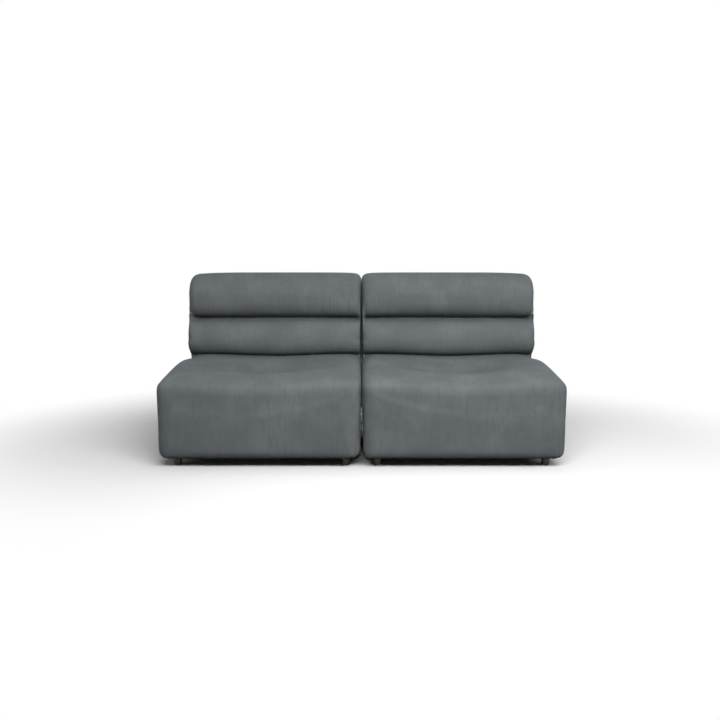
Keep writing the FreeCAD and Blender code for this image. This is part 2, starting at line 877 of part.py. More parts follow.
def bracket_depths():
    """Depths of the front and the rear bracket's centre lines."""
    return ("sizes.bracket_from_ends", "(sizes.block_depth - sizes.bracket_from_ends)")


def plate(body, name, near):
    """The flat plate of a bracket, drawn from the side and one gauge thick."""
    half = "sizes.bracket_length / 2"
    high = "sizes.bracket_low + sizes.bracket_height"
    corners = [
        (f"-{half}", cell("bracket_low")),
        (half, cell("bracket_low")),
        (half, high),
        (f"-{half}", high),
    ]
    sketch = outline(body, f"{name}_plate_outline", "YZ_Plane", corners)
    sketch.setExpression("AttachmentOffset.Base.z", near)
    pad(body, f"{name}_plate", sketch, cell("bracket_gauge"))


def loop_bracket(name, depth):
    """Plate with a square loop standing off its face; the tongue drops through the loop."""
    body = new_body(name)
    plate(body, name, LEFT_FACE)
    face = f"({LEFT_FACE} + sizes.bracket_gauge)"
    outside = f"({LOOP_NEAR} + sizes.bracket_gauge)"
    inner = "(sizes.tongue_width / 2 + sizes.bracket_clearance)"
    outer = f"({inner} + sizes.bracket_gauge)"
    corners = [
        (face, f"-{outer}"),
        (outside, f"-{outer}"),
        (outside, outer),
        (face, outer),
        (face, inner),
        (LOOP_NEAR, inner),
        (LOOP_NEAR, f"-{inner}"),
        (face, f"-{inner}"),
    ]
    sketch = outline(body, f"{name}_loop_outline", "XY_Plane", corners)
    sketch.setExpression("AttachmentOffset.Base.z", LOOP_LOW)
    pad(body, f"{name}_loop", sketch, cell("loop_height"))
    return place(body, "0", back_from(depth), "0")


def tongue_bracket(name, depth):
    """Plate with a folded tongue that passes over the loop and down behind it."""
    body = new_body(name)
    plate(body, name, RIGHT_PLATE)
    tip = f"({BRIDGE_LOW} - sizes.tongue_reach)"
    high = f"({BRIDGE_LOW} + sizes.bracket_gauge)"
    far = f"({TONGUE_NEAR} + sizes.bracket_gauge)"
    corners = [
        (TONGUE_NEAR, tip),
        (far, tip),
        (far, BRIDGE_LOW),
        (RIGHT_PLATE, BRIDGE_LOW),
        (RIGHT_PLATE, high),
        (TONGUE_NEAR, high),
    ]
    sketch = outline(body, f"{name}_tongue_outline", "XZ_Plane", corners)
    folded = pad(body, f"{name}_tongue", sketch, cell("tongue_width"), midplane=True)
    body.Tip = folded
    return place(body, "0", back_from(depth), "0")


def connectors(label, side):
    """Brackets and their packing blocks, on the inner side of one unit."""
    brackets = []
    blocks = []
    block_face = (
        f"{LEFT_FACE} - sizes.bottom_round"
        if side < 0
        else f"-{LEFT_FACE} + sizes.bottom_round - {BLOCK_THICKNESS}"
    )
    form = loop_bracket if side < 0 else tongue_bracket
    margin = "sizes.connector_block_margin"
    for row, depth in enumerate(bracket_depths()):
        brackets.append(form(f"bracket_{label}_{row + 1}", depth))
        blocks.append(
            box(
                f"connector_block_{label}_{row + 1}",
                BLOCK_THICKNESS,
                f"sizes.bracket_length + 2 * {margin}",
                f"sizes.bracket_height + 2 * {margin}",
                block_face,
                back_from(f"{depth} - sizes.bracket_length / 2 - {margin}"),
                f"sizes.bracket_low - {margin}",
            )
        )
    kind = "loop" if side < 0 else "tongue"
    return {
        f"{kind}_brackets": group(f"{kind}_brackets_{label}", brackets),
        "connector_blocks": group(f"connector_blocks_{label}", blocks),
    }


# Soft pieces. They are made round the finished frame, in the unit's own frame: X from its centre
# line, Y back from the front plane.

SLOT_MARGIN = 1
# How far the cutting forms run past the piece they cut
PAST = 60


def value(text):
    """The value of a place that is worked out from the driving dimensions."""
    probe.setExpression("Value", text)
    probe.recompute()
    return float(probe.Value)


def post_slots(pieces, side):
    """Room round the two back posts, from the rails' top to above the deck."""
    slots = []
    for role in ("outer", "inner"):
        low, high = bounds_in_unit(pieces[f"back_post_{role}"], side, SLOT_MARGIN)
        front = (low[0], low[1], value(RAIL_TOP))
        back = (high[0], high[1], size("deck_height") + PAST)
        slots.append(plain_box(front, back))
    return slots


def seat_pieces(label, side, pieces):
    """Cover and foam of the seat."""
    cover = size("cover_thickness")
    clear = size("soft_clearance")
    inside_half = value(INSIDE_HALF)
    opening = plain_box(
        (-inside_half, value(INSIDE_FRONT), 0), (inside_half, value(INSIDE_REAR), value(RAIL_TOP))
    )
    slots = post_slots(pieces, side)
    skin = block_solid(0).cut([block_solid(cover), opening, *slots])

    half = value(FRAME_HALF) + clear
    frame_room = plain_box(
        (-half, value(FRAME_FRONT) - clear, 0),
        (half, value(FRAME_REAR) + clear, value(RAIL_TOP) + 2 * size("webbing_thickness") + clear),
    )
    pockets = []
    for solid in pieces["connector_blocks"].Shape.Solids:
        bounds = solid.BoundBox
        shift = Vector(-side * module_pitch() / 2, size("overall_depth") / 2, 0)
        low = Vector(bounds.XMin, bounds.YMin, bounds.ZMin).add(shift)
        high = Vector(bounds.XMax, bounds.YMax, bounds.ZMax).add(shift)
        pockets.append(
            plain_box(
                (low.x - cover, low.y - clear, low.z - clear),
                (high.x + cover, high.y + clear, high.z + clear),
            )
        )
    foam = block_solid(cover + clear).cut([frame_room, *slots, *pockets])
    return {
        "seat_cover": formed(f"seat_cover_{label}", skin, side),
        "seat_foam": formed(f"seat_foam_{label}", foam, side),
    }


def back_pieces(label, side):
    """Cover, foams and crease rod of the back."""
    cover = size("cover_thickness")
    clear = size("soft_clearance")
    low = size("deck_height") - PAST
    seat = block_solid(-clear)
    skin = back_solid(0, low).cut([back_solid(cover, low - PAST), seat])

    foam = back_solid(cover + clear, low).cut(seat)
    frame_top = size("back_frame_height") + clear
    frame_room = reclined_box(
        value(FRAME_HALF) + clear, (value(PAD_DEPTH), value(BOARD_FRONT) + clear), (-PAST, frame_top)
    )
    radius = size("crease_rod_radius")
    rod_depth = value(CREASE_ROD_DEPTH)
    rod_half = value(FRAME_HALF)
    groove = Part.makeCylinder(
        radius + clear,
        2 * (rod_half + clear),
        Vector(-rod_half - clear, rod_depth, size("crease_height")),
        Vector(1, 0, 0),
    )
    foam = foam.cut([frame_room, groove])
    wide = size("module_width")
    pad_region = reclined_box(wide, (-wide, value(PAD_DEPTH)), (-2 * PAST, frame_top))
    low_region = plain_box((-wide, 0, 0), (wide, 2 * wide, size("crease_height")))
    front = foam.cut(pad_region)
    crease_rod = rod(
        f"crease_rod_{label}",
        cell("crease_rod_radius"),
        f"2 * {FRAME_HALF}",
        across(side, f"-{FRAME_HALF}"),
        back_from(CREASE_ROD_DEPTH),
        cell("crease_height"),
        Vector(1, 0, 0),
    )
    return {
        "back_cover": formed(f"back_cover_{label}", skin, side),
        "rear_pad": formed(f"rear_pad_{label}", foam.common(pad_region), side),
        "lower_roll_foam": formed(f"lower_roll_foam_{label}", front.common(low_region), side),
        "upper_roll_foam": formed(f"upper_roll_foam_{label}", front.cut(low_region), side),
        "crease_rod": crease_rod,
    }


# Both units

SOLIDS = {
    "corner_blocks": 4,
    "long_webbing": int(size("webbing_count")),
    "cross_webbing": int(size("webbing_count")),
    "front_feet": 2,
    "rear_feet": 2,
    "foot_bolts": 4,
    "loop_brackets": 2,
    "tongue_brackets": 2,
    "connector_blocks": 2,
}

probe = doc.addObject("App::FeaturePython", "probe")
probe.addProperty("App::PropertyFloat", "Value")


def build_unit(label, side):
    """All pieces of one unit by their roles."""
    pieces = base_frame(label, side)
    pieces["corner_blocks"] = corner_blocks(label, side)
    pieces.update(webbing(label, side))
    pieces.update(back_frame(label, side))
    pieces.update(feet_and_underside(label, side))
    pieces.update(connectors(label, side))
    doc.recompute()
    pieces.update(seat_pieces(label, side, pieces))
    pieces.update(back_pieces(label, side))
    doc.recompute()
    return pieces


finished = {}
for unit_label, unit_side in (("left", -1), ("right", 1)):
    for role, piece in build_unit(unit_label, unit_side).items():
        piece.Label = f"{role}_{unit_label}"
        finished[piece.Label] = (piece, SOLIDS.get(role, 1))

for item in doc.Objects:
    if "Invalid" in item.State or "Error" in item.State:
        raise RuntimeError(f"{item.Name} did not build")

for node, (piece, solids) in finished.items():
    shape = piece.Shape
    if shape.isNull() or not shape.isValid():
        raise RuntimeError(f"{node} has no valid shape")
    if len(shape.Solids) != solids:
        raise RuntimeError(f"{node} has {len(shape.Solids)} solids instead of {solids}")

for node, (piece, solids) in finished.items():
    piece.Shape.exportStep(f"parts/{node}.step")
    bounds = piece.Shape.BoundBox
    litres = piece.Shape.Volume / 1e6
    print(
        f"{node}: {litres:.3f} l, X {bounds.XMin:.1f} {bounds.XMax:.1f},"
        f" Y {bounds.YMin:.1f} {bounds.YMax:.1f}, Z {bounds.ZMin:.1f} {bounds.ZMax:.1f}"
    )
print(f"{len(finished)} pieces written")
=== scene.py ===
"""Looks of the armless sofa: two equal upholstered units on short turned feet.

Everything is in metres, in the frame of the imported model: +X to the right, +Y to the back, +Z up,
with the origin on the floor under the middle of the sofa.
"""

import logging
import math
from dataclasses import dataclass
from enum import Enum

import bmesh
import bpy
from mathutils import Matrix, Vector


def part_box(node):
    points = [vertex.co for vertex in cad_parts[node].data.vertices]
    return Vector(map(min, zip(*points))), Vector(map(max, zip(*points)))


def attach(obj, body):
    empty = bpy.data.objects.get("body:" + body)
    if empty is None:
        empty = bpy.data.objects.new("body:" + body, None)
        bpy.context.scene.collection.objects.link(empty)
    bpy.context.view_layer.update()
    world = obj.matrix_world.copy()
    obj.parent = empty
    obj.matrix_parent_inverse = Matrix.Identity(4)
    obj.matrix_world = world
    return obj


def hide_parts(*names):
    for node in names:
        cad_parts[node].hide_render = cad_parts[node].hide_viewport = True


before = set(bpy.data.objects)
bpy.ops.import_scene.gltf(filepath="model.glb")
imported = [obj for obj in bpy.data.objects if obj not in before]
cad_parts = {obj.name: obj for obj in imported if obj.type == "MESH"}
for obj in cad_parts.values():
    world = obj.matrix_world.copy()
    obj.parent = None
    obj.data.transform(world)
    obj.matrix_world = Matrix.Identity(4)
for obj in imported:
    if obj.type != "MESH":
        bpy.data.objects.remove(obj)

LOG = logging.getLogger("armless_sofa")
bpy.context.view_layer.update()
MM = 0.001


class Unit(Enum):
    """The two units, by the ending of their nodes' names, with the side each lies on."""

    LEFT = ("left", -1)
    RIGHT = ("right", 1)

    @property
    def label(self) -> str:
        """Ending of the unit's node names."""
        return self.value[0]

    @property
    def side(self) -> int:
        """-1 to the left of the middle, 1 to the right."""
        return self.value[1]

    @property
    def body(self) -> str:
        """Name of the body that the unit's pieces ride on."""
        return f"{self.label}_module"

    def node(self, role: str) -> str:
        """Name of the unit's node with a role."""
        return f"{role}_{self.label}"


# Finishes

def linear(code: str) -> tuple[float, float, float, float]:
    """Turn a colour from sRGB hex to linear.

    Args:
        code: six hex digits, with or without a leading hash sign.

    Returns:
        Red, green, blue and an alpha of 1.
    """
    code = code.lstrip("#")
    channels = [int(code[i:i + 2], 16) / 255 for i in (0, 2, 4)]
    straight = [c / 12.92 if c <= 0.04045 else ((c + 0.055) / 1.055) ** 2.4 for c in channels]
    return (*straight, 1.0)


def add(tree: bpy.types.NodeTree, kind: str, links: dict | None = None, **settings) -> bpy.types.Node:
    """Add a node to a tree.

    Args:
        tree: the node tree.
        kind: the node's type name.
        links: socket name or number to an output socket, or to a plain value.
        settings: attributes of the node itself.

    Returns:
        The new node.
    """
    made = tree.nodes.new(kind)
    for name, setting in settings.items():
        setattr(made, name, setting)
    for socket, source in (links or {}).items():
        if isinstance(source, bpy.types.NodeSocket):
            tree.links.new(source, made.inputs[socket])
        else:
            made.inputs[socket].default_value = source
    return made


def new_material(name: str) -> tuple[bpy.types.Material, bpy.types.NodeTree, bpy.types.NodeSocket]:
    """Make an empty node material.

    Args:
        name: the material's name.

    Returns:
        The material, its tree, and the Object coordinates that its patterns read.
    """
    material = bpy.data.materials.new(name)
    material.use_nodes = True
    tree = material.node_tree
    tree.nodes.clear()
    place = add(tree, "ShaderNodeTexCoord").outputs["Object"]
    return material, tree, place


def stretched(tree: bpy.types.NodeTree, place: bpy.types.NodeSocket, scale: tuple) -> bpy.types.NodeSocket:
    """Scale pattern coordinates by a different factor along each axis."""
    return add(tree, "ShaderNodeMapping", {"Vector": place, "Scale": scale}).outputs["Vector"]


def grain_noise(tree: bpy.types.NodeTree, place: bpy.types.NodeSocket, size: float, detail: float) -> bpy.types.NodeSocket:
    """Noise whose blobs are about size metres wide."""
    links = {"Vector": place, "Scale": 1 / size, "Detail": detail, "Roughness": 0.55}
    return add(tree, "ShaderNodeTexNoise", links).outputs["Fac"]


def blend_colour(
    tree: bpy.types.NodeTree, factor: bpy.types.NodeSocket, low: object, high: object, limits: tuple = (0.3, 0.7)
) -> bpy.types.NodeSocket:
    """Go from one colour to another as a factor runs between two limits."""
    links = {"Value": factor, "From Min": limits[0], "From Max": limits[1]}
    share = add(tree, "ShaderNodeMapRange", links, interpolation_type="SMOOTHSTEP").outputs["Result"]
    mix = add(tree, "ShaderNodeMix", {"Factor": share}, data_type="RGBA")
    for socket, source in ((6, low), (7, high)):
        if isinstance(source, bpy.types.NodeSocket):
            tree.links.new(source, mix.inputs[socket])
        else:
            mix.inputs[socket].default_value = source
    return mix.outputs[2]


def finish_surface(
    tree: bpy.types.NodeTree, links: dict, bumps: list[tuple[bpy.types.NodeSocket, float, float]]
) -> None:
    """Add the shader, its bump chain and the output.

    Args:
        tree: the material's tree.
        links: inputs of the shader.
        bumps: height socket, depth in metres and strength of each layer of relief.
    """
    normal = None
    for height, depth, strength in bumps:
        inputs = {"Height": height, "Distance": depth, "Strength": strength}
        if normal is not None:
            inputs["Normal"] = normal
        normal = add(tree, "ShaderNodeBump", inputs).outputs["Normal"]
    if normal is not None:
        links = {**links, "Normal": normal}
    shader = add(tree, "ShaderNodeBsdfPrincipled", links)
    add(tree, "ShaderNodeOutputMaterial", {"Surface": shader.outputs["BSDF"]})


@dataclass(frozen=True)
class WovenUpholstery:
    """Flat woven polyester upholstery cloth, piece dyed and brushed.

    The eye gets a matt surface with soft cloudy shading, faint slubs along the warp and almost no
    gloss. The real threads lie 0.6 mm apart, too fine to show, so the weave is drawn at 2 mm.
    """

    name: str = "woven_upholstery"
    shade: str = "#5F6466"
    light: str = "#6A6F71"
    dark: str = "#5A5F61"
    thread: float = 2 * MM
    slub_width: float = 9 * MM
    slub_length: float = 80 * MM
    cloud: float = 130 * MM
    mottle: float = 24 * MM
    roughness: float = 0.86
    weave_depth: float = 0.25 * MM

    def make(self) -> bpy.types.Material:
        """Build the material.

        Returns:
            The finished material.
        """
        material, tree, place = new_material(self.name)
        long = self.slub_width / self.slub_length
        slub_place = stretched(tree, place, (1.0, long, long))
        slubs = grain_noise(tree, slub_place, self.slub_width, 3.0)
        clouds = grain_noise(tree, place, self.cloud, 2.0)
        mottles = grain_noise(tree, place, self.mottle, 4.0)
        base = blend_colour(tree, clouds, linear(self.shade), linear(self.light), (0.35, 0.75))
        worn = blend_colour(tree, mottles, base, linear(self.light), (0.45, 1.05))
        streaked = blend_colour(tree, slubs, linear(self.dark), worn, (0.1, 0.6))
        turn = 2 * math.pi / self.thread
        heights = []
        for axis in ("X", "Y", "Z"):
            parts = add(tree, "ShaderNodeSeparateXYZ", {0: place}).outputs[axis]
            wave = add(tree, "ShaderNodeMath", {0: parts, 1: turn}, operation="MULTIPLY").outputs[0]
            heights.append(add(tree, "ShaderNodeMath", {0: wave}, operation="SINE").outputs[0])
        pair = add(tree, "ShaderNodeMath", {0: heights[0], 1: heights[1]}, operation="ADD").outputs[0]
        weave = add(tree, "ShaderNodeMath", {0: pair, 1: heights[2]}, operation="ADD").outputs[0]
        links = {
            "Base Color": streaked,
            "Roughness": self.roughness,
            "Specular IOR Level": 0.25,
            "Sheen Weight": 0.08,
            "Sheen Roughness": 0.6,
            "Sheen Tint": linear(self.light),
        }
        bumps = [(weave, self.weave_depth, 0.35), (slubs, 0.5 * MM, 0.5), (mottles, 0.8 * MM, 0.35)]
        finish_surface(tree, links, bumps)
        return material


@dataclass(frozen=True)
class TurnedBeech:
    """Turned beech, stained dark brown and lacquered satin: short dark flecks along the grain."""

    name: str = "dark_stained_beech"
    light: str = "#4A3524"
    dark: str = "#2A1C13"
    fleck: float = 1.2 * MM
    ring: float = 5 * MM
    roughness: float = 0.42

    def make(self) -> bpy.types.Material:
        """Build the material."""
        material, tree, place = new_material(self.name)
        flecks = grain_noise(tree, stretched(tree, place, (1, 1, 0.12)), self.fleck, 3.0)
        rings = grain_noise(tree, stretched(tree, place, (1, 1, 0.05)), self.ring, 2.0)
        tone = blend_colour(tree, rings, linear(self.dark), linear(self.light))
        colour = blend_colour(tree, flecks, tone, linear(self.dark), (0.55, 0.8))
        rough = add(tree, "ShaderNodeMath", {0: flecks, 1: 0.25, 2: self.roughness - 0.1}, operation="MULTIPLY_ADD")
        finish_surface(
            tree,
            {"Base Color": colour, "Roughness": rough.outputs[0], "Coat Weight": 0.1, "Coat Roughness": 0.35},
            [(flecks, 0.2 * MM, 0.4)],
        )
        return material


@dataclass(frozen=True)
class ZincPlate:
    """Pressed steel, zinc plated: a bright, slightly cloudy grey metal with rolling lines."""

    name: str = "zinc_plated_steel"
    light: str = "#B9BCBE"
    dark: str = "#8F9497"
    spangle: float = 7 * MM
    roughness: float = 0.34

    def make(self) -> bpy.types.Material:
        """Build the material."""
        material, tree, place = new_material(self.name)
        spangles = grain_noise(tree, place, self.spangle, 2.0)
        lines = grain_noise(tree, stretched(tree, place, (1, 0.05, 1)), 0.8 * MM, 2.0)
        colour = blend_colour(tree, spangles, linear(self.dark), linear(self.light))
        rough = add(tree, "ShaderNodeMath", {0: spangles, 1: 0.2, 2: self.roughness - 0.1}, operation="MULTIPLY_ADD")
        finish_surface(
            tree,
            {"Base Color": colour, "Metallic": 1.0, "Roughness": rough.outputs[0]},
            [(lines, 0.05 * MM, 0.3)],
        )
        return material


@dataclass(frozen=True)
class BareTimber:
    """Planed softwood or plywood face, left bare: pale, with long soft grain."""

    name: str
    light: str
    dark: str
    grain: float = 6 * MM
    roughness: float = 0.62

    def make(self) -> bpy.types.Material:
        """Build the material."""
        material, tree, place = new_material(self.name)
        grain = grain_noise(tree, stretched(tree, place, (0.06, 0.3, 1)), self.grain, 4.0)
        pores = grain_noise(tree, stretched(tree, place, (0.05, 1, 1)), 0.9 * MM, 2.0)
        tone = blend_colour(tree, grain, linear(self.dark), linear(self.light))
        colour = blend_colour(tree, pores, tone, linear(self.dark), (0.6, 0.95))
        finish_surface(tree, {"Base Color": colour, "Roughness": self.roughness}, [(pores, 0.15 * MM, 0.4)])
        return material


@dataclass(frozen=True)
class CoarseCloth:
    """Plain technical cloth, such as elastic webbing or spun dust cloth: matt, with a coarse lattice."""

    name: str
    light: str
    dark: str
    pitch: float
    roughness: float = 0.9

    def make(self) -> bpy.types.Material:
        """Build the material."""
        material, tree, place = new_material(self.name)
        cells = add(tree, "ShaderNodeTexVoronoi", {"Vector": place, "Scale": 1 / self.pitch}).outputs["Distance"]
        fibres = grain_noise(tree, place, self.pitch * 4, 5.0)
        tone = blend_colour(tree, fibres, linear(self.dark), linear(self.light))
        colour = blend_colour(tree, cells, tone, linear(self.dark), (0.4, 1.1))
        links = {"Base Color": colour, "Roughness": self.roughness, "Specular IOR Level": 0.2}
        finish_surface(tree, links, [(cells, 0.3 * MM, 0.6)])
        return material


# Soft forms

@dataclass(frozen=True)
class ProfilePoint:
    """A point of a side profile: how far back, how high, and which way the surface faces there."""

    depth: float
    height: float
    face_depth: float
    face_height: float


def bend(centre: tuple, radius: float, start: float, stop: float, pitch: float) -> list[ProfilePoint]:
    """Points along an arc of a profile.

    Args:
        centre: depth and height of the arc's centre.
        radius: its radius.
        start: first angle in degrees, from straight back towards up.
        stop: last angle.
        pitch: about how far apart the points lie.

    Returns:
        The points, without the last.
    """
    count = max(2, round(abs(math.radians(stop - start)) * radius / pitch))
    points = []
    for index in range(count):
        turn = math.radians(start + (stop - start) * index / count)
        back, up = math.cos(turn), math.sin(turn)
        points.append(ProfilePoint(centre[0] + radius * back, centre[1] + radius * up, back, up))
    return points


def run(first: tuple, last: tuple, face: tuple, pitch: float) -> list[ProfilePoint]:
    """Points along a straight stretch of a profile, without its last."""
    length = math.hypot(last[0] - first[0], last[1] - first[1])
    count = max(1, round(length / pitch))
    points = []
    for index in range(count):
        share = index / count
        depth = first[0] + (last[0] - first[0]) * share
        height = first[1] + (last[1] - first[1]) * share
        points.append(ProfilePoint(depth, height, *face))
    return points


def ramp(position: float, start: float, stop: float) -> float:
    """Share of the way from start to stop, without a kink at either end."""
    share = min(max((position - start) / (stop - start), 0), 1)
    return share * share * (3 - 2 * share)


def hermite(position: float, knots: tuple) -> float:
    """Height of a smooth curve through knots of position, height and slope."""
    if position <= knots[0][0]:
        return knots[0][1]
    for (start, low, rise), (stop, high, fall) in zip(knots, knots[1:]):
        if position <= stop:
            span = stop - start
            t = (position - start) / span
            value = (2 * t ** 3 - 3 * t ** 2 + 1) * low + (3 * t ** 2 - 2 * t ** 3) * high
            return value + span * ((t ** 3 - 2 * t ** 2 + t) * rise + (t ** 3 - t ** 2) * fall)
    return knots[-1][1]


def end_inset(radius: float, distance: float) -> float:
    """How far a rounded end draws a surface in, at a distance from its flat side."""
    if distance >= radius:
        return 0.0
    return radius - math.sqrt(radius ** 2 - (radius - distance) ** 2)


@dataclass
class PaddedForm:
    """An upholstered form: a side profile carried across the unit, with both ends rounded.

    Lengths are in millimetres in the unit's own frame: X from its centre line, depth back from the
    front plane, height from the floor. The finished mesh is in metres.
    """

    name: str
    half_width: float = 437.25
    dish_half_width: float = 365
    pitch: float = 14
    voxel: float = 10
    shy: float = 1.5
    side_shy: float = 0.5
    outer_proud: float = 4
    press: float = 5.9
    slot_depth: float = 35
    slot_closing: float = 40
    swell: float = 5
    smoothing: int = 1
    pressure: float = 4

    def profile(self) -> list[ProfilePoint]:
        """The closed side profile at the form's fullest."""
        raise NotImplementedError

    def settle(self, point: ProfilePoint, across: float, distance: float) -> tuple[float, float]:
        """Depth and height of a profile point at one place across the form.

        Args:
            point: the point of the profile.
            across: how far from the centre line.
            distance: how far from the flat side.

        Returns:
            Its depth and height there.
        """
        raise NotImplementedError

    def holds(self, across: float, depth: float, height: float) -> bool:
        """Whether a place is held fast while the form swells."""
        raise NotImplementedError

    def end_round(self) -> float:
        """Radius of the rounded ends."""
        raise NotImplementedError

    def inner_proud(self, depth: float, height: float) -> float:
        """How far the side towards the other unit stands proud: the units press on each other.

        Args:
            depth: how far back the place is.
            height: how high it is.

        Returns:
            How far it stands proud there, more behind the slot that shows in front.
        """
        return self.press * ramp(depth, self.slot_depth, self.slot_depth + self.slot_closing)

    def dish_share(self, across: float) -> float:
        """How much of the dish's depth is reached at a place across the form."""
        return math.cos(math.pi / 2 * min(across / self.dish_half_width, 1)) ** 2

    def stations(self) -> list[float]:
        """Places across the form, close together where the ends are round."""
        half = self.half_width - self.side_shy
        inner = half - self.end_round()
        turns = 9
        right = [half - self.end_round() * (1 - math.cos(math.radians(90 * i / turns))) for i in range(turns)]
        count = round(inner / self.pitch)
        right += [inner * i / count for i in range(count, 0, -1)]
        return sorted([-x for x in right] + [0.0] + right)

    def block_out(self) -> bpy.types.Mesh:
        """Carry the profile across the unit and close both ends."""
        form = bmesh.new()
        profile = self.profile()
        rings = []
        for place in self.stations():
            distance = self.half_width - self.side_shy - abs(place)
            ring = []
            for point in profile:
                depth, height = self.settle(point, abs(place), max(distance, 0.0))
                depth -= point.face_depth * self.shy
                height -= point.face_height * self.shy
                ring.append(form.verts.new(Vector((place, depth, height)) * MM))
            rings.append(ring)
        count = len(profile)
        for near, far in zip(rings, rings[1:]):
            for i in range(count):
                j = (i + 1) % count
                form.faces.new((near[i], near[j], far[j], far[i]))
        form.faces.new(rings[0])
        form.faces.new(rings[-1])
        bmesh.ops.triangulate(form, faces=[f for f in form.faces if len(f.verts) > 4])
        bmesh.ops.recalc_face_normals(form, faces=form.faces)
        mesh = bpy.data.meshes.new(self.name)
        form.to_mesh(mesh)
        form.free()
        return mesh

    def even_out(self, piece: bpy.types.Object) -> None:
        """Give the form an even mesh, and soften its lines."""
        remesh = piece.modifiers.new("even", "REMESH")
        remesh.mode = "VOXEL"
        remesh.voxel_size = self.voxel * MM
        smooth = piece.modifiers.new("soften", "SMOOTH")
        smooth.factor = 0.5
        smooth.iterations = self.smoothing
        bake(piece)

    def stand_proud(self, piece: bpy.types.Object) -> None:
        """Widen the form: the outer side stands proud, and the inner one meets the other unit."""
        for vert in piece.data.vertices:
            across, depth, height = vert.co / MM
            proud = self.outer_proud if across < 0 else self.inner_proud(depth, height)
            vert.co.x *= 1 + proud / self.half_width

    def swell_up(self, piece: bpy.types.Object) -> None:
        """Fill the cover like a cushion, and let no point of it move further than the swell."""
        before = [v.co.copy() for v in piece.data.vertices]
        held = piece.vertex_groups.new(name="held")
        fast = [i for i, co in enumerate(before) if self.holds(*(co / MM))]
        held.add(fast, 1.0, "REPLACE")
        cloth = piece.modifiers.new("filling", "CLOTH")
        cloth.settings.quality = 3
        cloth.settings.mass = 0.3
        cloth.settings.tension_stiffness = 20
        cloth.settings.compression_stiffness = 20
        cloth.settings.bending_stiffness = 4
        cloth.settings.use_pressure = True
        cloth.settings.uniform_pressure_force = self.pressure
        cloth.settings.vertex_group_mass = "held"
        cloth.settings.effector_weights.gravity = 0
        frames = 20
        cloth.point_cache.frame_start = 1
        cloth.point_cache.frame_end = frames
        for number in range(1, frames + 1):
            bpy.context.scene.frame_set(number)
        bake(piece)
        bpy.context.scene.frame_set(1)
        limit = self.swell * MM
        for vert, co in zip(piece.data.vertices, before):
            moved = vert.co - co
            if moved.length > 0:
                vert.co = co + moved.normalized() * limit * math.tanh(moved.length / limit)
        piece.vertex_groups.clear()

    def make(self) -> bpy.types.Mesh:
        """Build the filled form.

        Returns:
            Its mesh, in the unit's own frame.
        """
        mesh = self.block_out()
        piece = bpy.data.objects.new(self.name, mesh)
        bpy.context.scene.collection.objects.link(piece)
        self.even_out(piece)
        self.stand_proud(piece)
        self.swell_up(piece)
        mesh = piece.data
        bpy.data.objects.remove(piece)
        mesh.shade_smooth()
        LOG.info("%s has %d faces", self.name, len(mesh.polygons))
        return mesh


def bake(piece: bpy.types.Object) -> None:
    """Turn the piece's modifiers into its mesh."""
    graph = bpy.context.evaluated_depsgraph_get()
    mesh = bpy.data.meshes.new_from_object(piece.evaluated_get(graph))
    piece.modifiers.clear()
    piece.data = mesh


